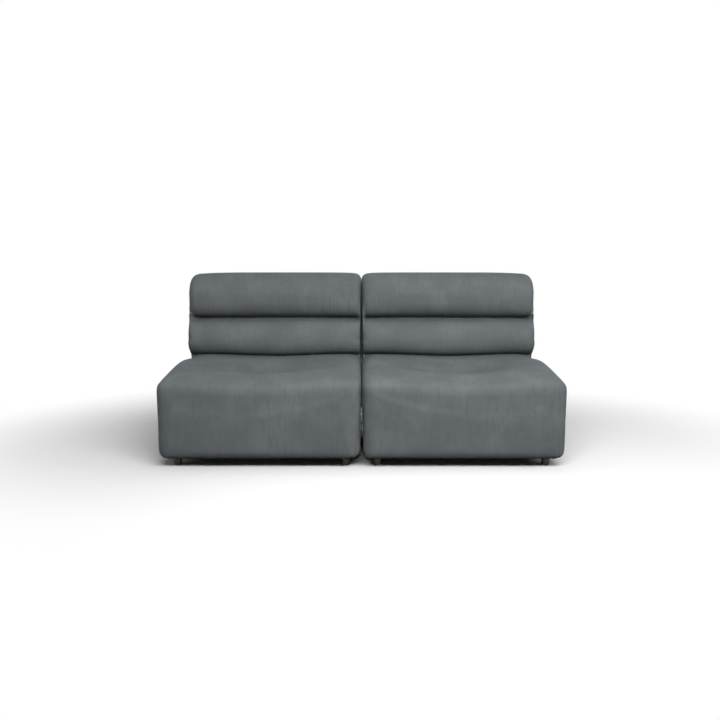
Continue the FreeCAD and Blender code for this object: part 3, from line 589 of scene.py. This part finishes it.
@dataclass
class SeatBlock(PaddedForm):
    """The block seat: upright sides, rounded edges, and a top dished by use."""

    depth: float = 880
    low: float = 44
    side_edge: float = 48
    lower_edge: float = 36
    front_edge: float = 50
    rear_edge: float = 14
    edge_height: float = 396
    edge_lean: float = 7.4
    swell: float = 2.5
    deck_height: float = 398
    bracket_top: float = 190
    # how far one unit is lifted to part the two, and over what height the sides close above that
    lift: float = 64
    bracket_closing: float = 20
    # depth, height beside the dish, and slope there
    crown: tuple = ((43.6, 395.2, 0.13), (150, 407, 0.09), (375, 421, 0), (628, 398, 0))
    # depth, and how far the dish's cross section goes from a bell to a broad trough
    broadening: tuple = ((150, 0, 0), (300, 0.8, 0), (420, 0.8, 0), (600, 0, 0))
    # depth, how far the dish lowers the top, and how fast that changes
    dish: tuple = ((43.6, 16, -0.15), (150, 13, 0.09), (375, 76, 0), (628, 10, 0))

    def end_round(self) -> float:
        """Radius of the rounded ends."""
        return self.side_edge

    def profile(self) -> list[ProfilePoint]:
        """Bottom front edge, front, top, rear and underside."""
        lower, front, rear = self.lower_edge, self.front_edge, self.rear_edge
        rise = self.low + lower
        back = self.depth - lower
        top_end = self.depth - rear
        start = self.crown[0][0]
        count = round((top_end - start) / self.pitch)
        steps = [start + (top_end - start) * i / count for i in range(count)]
        return [
            *bend((lower, rise), lower, -90, -180, 6),
            *run((0, rise), (0, self.edge_height - front), (-1, 0), self.pitch),
            *bend((front, self.edge_height - front), front, 180, 90 + self.edge_lean, 6),
            *[ProfilePoint(step, hermite(step, self.crown), 0, 1) for step in steps],
            *bend((top_end, self.deck_height - rear), rear, 90, 0, 5),
            *run((self.depth, self.deck_height - rear), (self.depth, rise), (1, 0), self.pitch),
            *bend((back, rise), lower, 0, -90, 6),
            *run((back, self.low), (lower, self.low), (0, -1), self.pitch),
        ]

    def inner_proud(self, depth: float, height: float) -> float:
        """How far the inner side stands proud, which leaves the brackets room, lifted too."""
        swept = self.bracket_top + self.lift
        return super().inner_proud(depth, height) * ramp(height, swept, swept + self.bracket_closing)

    def settle(self, point: ProfilePoint, across: float, distance: float) -> tuple[float, float]:
        """Lower the top by the dish, and draw the section in towards the ends."""
        inset = end_inset(self.side_edge, distance)
        low_inset = end_inset(self.lower_edge, distance)
        share = self.dish_share(across)
        broad = hermite(point.depth, self.broadening)
        drop = (share * (1 - broad) + math.sqrt(share) * broad) * hermite(point.depth, self.dish)
        rise = self.low + self.lower_edge
        reach = max(point.height - rise, 0) / (self.edge_height - self.front_edge - rise)
        height = point.height - drop * min(reach, 1)
        depth = point.depth - point.face_depth * inset
        height -= point.face_height * (inset if point.face_height > 0 else low_inset)
        top = hermite(point.depth, self.crown) - drop
        depth = min(max(depth, inset), self.depth - inset)
        height = min(max(height, self.low + low_inset), top - inset)
        return depth, height

    def holds(self, across: float, depth: float, height: float) -> bool:
        """The cover is stapled below, hidden under the back, and pressed flat by the other unit."""
        return height < self.low + 25 or depth > 850 or across > self.half_width - 14


@dataclass
class RolledBack(PaddedForm):
    """The back: a lower and an upper roll in front, a rounded top and a straight leaning rear."""

    voxel: float = 6.5
    end_edge: float = 36
    tight_share: float = 0.12
    tight_reach: float = 70
    tuck_share: float = 0.45
    slot_depth: float = 700
    foot_low: float = 345
    deck_height: float = 399
    deck_drop: float = 10
    tuck_round: float = 76
    lower_front: float = 618
    lower_round: float = 97
    lower_middle: float = 476
    crease: tuple = (758, 566)
    crease_half: float = 30
    crease_closing: float = 85
    # how many degrees round the lower roll's top and the upper roll's underside the cover goes
    lower_stop: float = 98
    under_stop: float = 92
    upper_front: float = 667
    under_round: float = 80
    under_low: float = 584
    top_round: float = 110
    height: float = 807
    depth: float = 930
    rear_round: float = 85
    recline: float = 11.5
    ledge: float = 693

    def end_round(self) -> float:
        """Radius of the rounded ends."""
        return self.end_edge

    def profile(self) -> list[ProfilePoint]:
        """Lower roll, crease, upper roll, top, rear and the hidden foot."""
        lean = math.radians(self.recline)
        lower_centre = (self.lower_front + self.lower_round, self.lower_middle)
        under_centre = (self.upper_front + self.under_round, self.under_low + self.under_round)
        top_centre = (self.upper_front + self.top_round, self.height - self.top_round)
        rear_centre = (self.depth - self.rear_round, self.height - self.rear_round)
        rear_high = (
            rear_centre[0] + self.rear_round * math.cos(lean),
            rear_centre[1] - self.rear_round * math.sin(lean),
        )
        foot = (rear_high[0] - (rear_high[1] - self.foot_low) * math.tan(lean), self.foot_low)
        tuck_low = (self.lower_front + self.tuck_round, self.deck_height)
        lower_roll = bend(lower_centre, self.lower_round, 180, 180 - self.lower_stop, 7)
        upper_roll = bend(under_centre, self.under_round, 180 + self.under_stop, 180, 7)
        rear_face = (math.cos(lean), -math.sin(lean))
        return [
            *bend((tuck_low[0], tuck_low[1] + self.tuck_round), self.tuck_round, -90, -180, 7),
            *lower_roll,
            ProfilePoint(*self.crease, 0, 0),
            *upper_roll,
            *run((self.upper_front, under_centre[1]), (self.upper_front, top_centre[1]), (-1, 0), self.pitch),
            *bend(top_centre, self.top_round, 180, 90, 7),
            *run((top_centre[0], self.height), (rear_centre[0], self.height), (0, 1), self.pitch),
            *bend(rear_centre, self.rear_round, 90, -self.recline, 7),
            *run(rear_high, foot, rear_face, self.pitch),
            *run(foot, (self.ledge, self.foot_low), (0, -0.01), self.pitch),
            *run((self.ledge, self.foot_low), (self.ledge, self.deck_height), (-0.01, 0), self.pitch),
            ProfilePoint(self.ledge, self.deck_height, 0, 0),
        ]

    def settle(self, point: ProfilePoint, across: float, distance: float) -> tuple[float, float]:
        """Draw the section in towards the ends, but less where the cover is pulled tight."""
        tight = min(abs(point.height - self.crease[1]) / self.tight_reach, 1)
        inset = end_inset(self.end_edge, distance) * (self.tight_share * (1 - tight) + tight)
        if point.depth < self.ledge and point.height < self.lower_middle and point.face_height <= 0:
            drop = self.deck_drop * self.dish_share(across)
            return point.depth + inset * self.tuck_share, point.height - drop
        depth = point.depth - point.face_depth * inset
        if abs(point.height - self.crease[1]) < self.crease_half and point.depth <= self.crease[0]:
            closing = self.crease_closing * max(1 - distance / self.end_edge, 0) ** 2
            depth = min(depth, self.crease[0] - closing)
        return depth, point.height - point.face_height * inset

    def holds(self, across: float, depth: float, height: float) -> bool:
        """The cover is fast in the seat and the crease, and pressed flat by the other unit."""
        near_crease = math.hypot(depth - self.crease[0], height - self.crease[1]) < 30
        return height < self.deck_height + 12 or near_crease or across > self.half_width - 14


@dataclass
class Upholstery:
    """The padded pieces of both units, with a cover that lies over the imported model's soft solids."""

    centre: float = 442.775 * MM
    front: float = -465 * MM

    def place(self, mesh: bpy.types.Mesh, unit: Unit, name: str) -> bpy.types.Object:
        """Put a copy of a form in its unit; the right unit's is the mirror image."""
        form = bmesh.new()
        form.from_mesh(mesh)
        if unit.side > 0:
            bmesh.ops.scale(form, vec=(-1, 1, 1), verts=form.verts)
            bmesh.ops.reverse_faces(form, faces=form.faces)
        bmesh.ops.translate(form, vec=(unit.side * self.centre, self.front, 0), verts=form.verts)
        copy = bpy.data.meshes.new(name)
        form.to_mesh(copy)
        form.free()
        copy.shade_smooth()
        piece = bpy.data.objects.new(name, copy)
        bpy.context.scene.collection.objects.link(piece)
        fine = piece.modifiers.new("fine", "SUBSURF")
        fine.levels = fine.render_levels = 1
        return piece

    def build(self, cloth: bpy.types.Material) -> None:
        """Make the seats and backs.

        Args:
            cloth: the cover's finish.
        """
        seat = SeatBlock("seat_block").make()
        back = RolledBack("rolled_back").make()
        kinds = (
            (seat, "seat", ("seat_cover", "seat_foam"), 0.8),
            (back, "back", ("back_cover", "lower_roll_foam", "upper_roll_foam", "rear_pad"), 0.8),
        )
        for unit in Unit:
            for mesh, kind, roles, fill in kinds:
                piece = self.place(mesh, unit, f"padded_{kind}_{unit.label}")
                piece.data.materials.clear()
                piece.data.materials.append(cloth)
                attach(piece, unit.body)
                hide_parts(*[unit.node(role) for role in roles])


# Feet and hardware

@dataclass
class TurnedFoot:
    """A short turned foot with a soft shoulder and a worn lower edge."""

    height: float = 43 * MM
    radius: float = 19 * MM
    lower_radius: float = 17 * MM
    edge: float = 2.2 * MM
    steps: int = 64

    def add_to(self, form: bmesh.types.BMesh, x: float, y: float) -> None:
        """Turn one foot about its own upright axis.

        Args:
            form: the mesh that the foot is added to.
            x: where its axis stands, to the right.
            y: where its axis stands, to the back.
        """
        line = [(0, 0), (self.lower_radius, 0), (self.radius, self.height), (0, self.height)]
        verts = [form.verts.new((x + r, y, z)) for r, z in line]
        edges = [form.edges.new(pair) for pair in zip(verts, verts[1:])]
        turned = bmesh.ops.spin(
            form,
            geom=verts + edges,
            cent=(x, y, 0),
            axis=(0, 0, 1),
            angle=2 * math.pi,
            steps=self.steps,
            use_merge=True,
            use_duplicate=False,
        )
        assert turned["geom_last"]
        near = [v for v in form.verts if math.hypot(v.co.x - x, v.co.y - y) < 2 * self.radius]
        bmesh.ops.remove_doubles(form, verts=near, dist=1e-6)
        near = [v for v in form.verts if math.hypot(v.co.x - x, v.co.y - y) < 2 * self.radius]
        rims = {e for v in near for e in v.link_edges if self.is_rim(e, x, y)}
        bmesh.ops.bevel(
            form, geom=list(rims), offset=self.edge, segments=4, profile=0.5, affect="EDGES", material=-1
        )

    def is_rim(self, edge: bmesh.types.BMEdge, x: float, y: float) -> bool:
        """Whether an edge runs round the upper or lower rim."""
        first, last = (v.co for v in edge.verts)
        level = abs(first.z - last.z) < 1e-6
        return level and all(math.hypot(co.x - x, co.y - y) > self.lower_radius / 2 for co in (first, last))


def finish_mesh(form: bmesh.types.BMesh, name: str, finish: bpy.types.Material) -> bpy.types.Object:
    """Make an object of a hard form, smooth across its shallow edges.

    Args:
        form: the mesh, which is used up.
        name: the object's name.
        finish: its material.

    Returns:
        The new object.
    """
    bmesh.ops.recalc_face_normals(form, faces=form.faces)
    mesh = bpy.data.meshes.new(name)
    form.to_mesh(mesh)
    form.free()
    mesh.shade_smooth()
    mesh.set_sharp_from_angle(angle=math.radians(35))
    mesh.materials.append(finish)
    piece = bpy.data.objects.new(name, mesh)
    bpy.context.scene.collection.objects.link(piece)
    return piece


@dataclass
class Feet:
    """The eight feet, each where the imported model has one."""

    shape: TurnedFoot

    def build(self, wood: bpy.types.Material) -> None:
        """Make each pair of feet and let it stand for its node."""
        for unit in Unit:
            for end in ("front", "rear"):
                node = unit.node(f"{end}_feet")
                low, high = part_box(node)
                radius = self.shape.radius
                form = bmesh.new()
                for x in (low.x + radius, high.x - radius):
                    self.shape.add_to(form, x, (low.y + high.y) / 2)
                piece = finish_mesh(form, f"turned_{end}_feet_{unit.label}", wood)
                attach(piece, unit.body)
                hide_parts(node)


@dataclass
class ScrewHeads:
    """Flat countersunk heads that hold the interlocking plates to the blocks behind them."""

    radius: float = 4.2 * MM
    height: float = 0.5 * MM
    slot_width: float = 1.0 * MM
    spread: float = 38 * MM
    inset: float = 12 * MM

    def build(self, zinc: bpy.types.Material) -> None:
        """Put two heads on each plate, near its lower corners."""
        for unit, role in ((Unit.LEFT, "loop_brackets"), (Unit.RIGHT, "tongue_brackets")):
            low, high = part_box(unit.node(role))
            face = low.x + 2.5 * MM if unit.side < 0 else high.x - 2.5 * MM
            half = 50 * MM
            form = bmesh.new()
            for middle in (low.y + half, high.y - half):
                for shift in (-self.spread, self.spread):
                    self.head(form, face, -unit.side, middle + shift, low.z + self.inset)
            piece = finish_mesh(form, f"bracket_screws_{unit.label}", zinc)
            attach(piece, unit.body)

    def head(self, form: bmesh.types.BMesh, x: float, way: int, y: float, z: float) -> None:
        """Add one head that stands off a plate along X."""
        turn = Matrix.Translation((x + way * self.height / 2, y, z)) @ Matrix.Rotation(math.pi / 2, 4, "Y")
        made = bmesh.ops.create_cone(
            form,
            cap_ends=True,
            segments=32,
            radius1=self.radius,
            radius2=self.radius,
            depth=self.height,
            matrix=turn,
        )
        assert made["verts"]


@dataclass
class Structure:
    """Finishes of the pieces whose packed form is also the one that shows."""

    timber: bpy.types.Material
    plywood: bpy.types.Material
    webbing: bpy.types.Material
    dust_cloth: bpy.types.Material
    zinc: bpy.types.Material
    foam: bpy.types.Material

    def roles(self) -> dict[str, bpy.types.Material]:
        """Finish of each role."""
        timber = (
            "front_rail", "rear_rail", "outer_side_rail", "inner_side_rail", "corner_blocks",
            "back_post_outer", "back_post_inner", "back_top_rail", "connector_blocks",
        )
        table = {role: self.timber for role in timber}
        table.update({"long_webbing": self.webbing, "cross_webbing": self.webbing})
        table.update({role: self.zinc for role in ("foot_bolts", "crease_rod", "loop_brackets", "tongue_brackets")})
        table["back_board"] = self.plywood
        table["dust_cover"] = self.dust_cloth
        return table

    def build(self) -> None:
        """Give every shown node its finish."""
        roles = self.roles()
        for name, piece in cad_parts.items():
            role = name.rsplit("_", 1)[0]
            finish = roles.get(role, self.foam)
            piece.data.materials.clear()
            piece.data.materials.append(finish)


# Studio

def seen_directly(tree: bpy.types.NodeTree) -> bpy.types.NodeSocket:
    """1 for what the camera sees straight, in a mirror or through glass, and 0 for other light."""
    path = add(tree, "ShaderNodeLightPath")
    either = add(tree, "ShaderNodeMath", {
        0: path.outputs["Is Camera Ray"], 1: path.outputs["Is Glossy Ray"],
    }, operation="MAXIMUM")
    through = add(tree, "ShaderNodeMath", {
        0: either.outputs[0], 1: path.outputs["Is Transmission Ray"],
    }, operation="MAXIMUM")
    return through.outputs[0]


@dataclass
class Studio:
    """White product studio: pale floor, broad soft lights, and a camera in front, slightly above."""

    distance: float = 2.892
    eye_height: float = 0.996
    front: float = -0.465
    aside: float = -0.0073
    pitch: float = 10
    lens: float = 35
    ambient: float = 0.08
    floor_bounce: float = 0.04
    floor_shown: float = 0.95
    floor_reach: tuple = (2.3, 1.5)

    def build(self) -> None:
        """Make floor, world, lights and camera."""
        self.floor()
        self.world()
        self.light("high_front", (0.4, -2.2, 1.9), (0, 0, 0.3), (2.8, 0.6), 84)
        self.light("overhead", (0, 0.1, 3.0), (0, 0.1, 0.4), (3.0, 1.2), 11)
        self.light("left", (-3.0, -0.9, 1.3), (0, 0, 0.4), (1.0, 1.0), 6)
        self.light("right", (3.0, -1.0, 1.5), (0, 0, 0.4), (1.0, 1.0), 16)
        self.light("rear", (0.3, 3.0, 1.7), (0, 0, 0.4), (2.4, 1.0), 16)
        self.camera()
        bpy.context.scene.view_settings.view_transform = "Standard"

    def floor(self) -> None:
        """A broad pale floor."""
        form = bmesh.new()
        bmesh.ops.create_grid(form, x_segments=1, y_segments=1, size=30)
        mesh = bpy.data.meshes.new("floor")
        form.to_mesh(mesh)
        form.free()
        floor = bpy.data.objects.new("floor", mesh)
        bpy.context.scene.collection.objects.link(floor)
        material, tree, place = new_material("studio_floor")
        seen = seen_directly(tree)
        shade = add(tree, "ShaderNodeMix", {0: seen, 2: self.floor_bounce, 3: self.floor_shown})
        lit = add(tree, "ShaderNodeBsdfDiffuse", {"Color": shade.outputs[0]})
        white = add(tree, "ShaderNodeEmission", {"Color": (1, 1, 1, 1), "Strength": 1.0})
        near = stretched(tree, place, (1 / self.floor_reach[0], 1 / self.floor_reach[1], 1))
        distance = add(tree, "ShaderNodeVectorMath", {0: near}, operation="LENGTH").outputs["Value"]
        fade = add(tree, "ShaderNodeMapRange", {
            "Value": distance, "From Min": 0.45, "From Max": 1.0,
        }, interpolation_type="SMOOTHSTEP").outputs["Result"]
        share = add(tree, "ShaderNodeMath", {0: fade, 1: seen}, operation="MULTIPLY").outputs[0]
        floor_look = add(tree, "ShaderNodeMixShader", {0: share, 1: lit.outputs[0], 2: white.outputs[0]})
        add(tree, "ShaderNodeOutputMaterial", {"Surface": floor_look.outputs[0]})
        mesh.materials.append(material)

    def world(self) -> None:
        """Even white surroundings."""
        world = bpy.data.worlds.new("studio")
        world.use_nodes = True
        tree = world.node_tree
        tree.nodes.clear()
        strength = add(tree, "ShaderNodeMix", {0: seen_directly(tree), 2: self.ambient, 3: 1.0})
        sky = add(tree, "ShaderNodeBackground", {"Color": (1, 1, 1, 1), "Strength": strength.outputs[0]})
        add(tree, "ShaderNodeOutputWorld", {"Surface": sky.outputs[0]})
        bpy.context.scene.world = world

    def light(self, name: str, place: tuple, aim: tuple, size: tuple, power: float) -> None:
        """Add a soft rectangular light.

        Args:
            name: its name.
            place: where it stands.
            aim: the point it looks at.
            size: its width and height.
            power: its power in watts.
        """
        data = bpy.data.lights.new(name, "AREA")
        data.shape = "RECTANGLE"
        data.size, data.size_y = size
        data.energy = power
        lamp = bpy.data.objects.new(name, data)
        bpy.context.scene.collection.objects.link(lamp)
        lamp.visible_camera = False
        lamp.location = place
        lamp.rotation_euler = (Vector(aim) - Vector(place)).to_track_quat("-Z", "Y").to_euler()

    def camera(self) -> None:
        """The photograph's viewpoint."""
        data = bpy.data.cameras.new("camera")
        data.lens = self.lens
        data.sensor_width = 36
        camera = bpy.data.objects.new("camera", data)
        bpy.context.scene.collection.objects.link(camera)
        camera.location = (self.aside, self.front - self.distance, self.eye_height)
        camera.rotation_euler = (math.radians(90 - self.pitch), 0, 0)
        bpy.context.scene.camera = camera


def main() -> None:
    """Build the whole scene."""
    logging.basicConfig(level=logging.INFO)
    cloth = WovenUpholstery().make()
    zinc = ZincPlate().make()
    Upholstery().build(cloth)
    Feet(TurnedFoot()).build(TurnedBeech().make())
    ScrewHeads().build(zinc)
    Structure(
        timber=BareTimber("pine_frame_timber", "#D9B98C", "#B98F5E").make(),
        plywood=BareTimber("birch_plywood", "#DCC49C", "#C4A477", grain=9 * MM).make(),
        webbing=CoarseCloth("elastic_webbing", "#3B3B3D", "#1F1F21", 3 * MM).make(),
        dust_cloth=CoarseCloth("spun_dust_cloth", "#2B2B2D", "#151517", 1.5 * MM).make(),
        zinc=zinc,
        foam=CoarseCloth("polyurethane_foam", "#E6DDB8", "#CFC493", 2 * MM).make(),
    ).build()
    Studio().build()


if __name__ == "__main__":
    main()
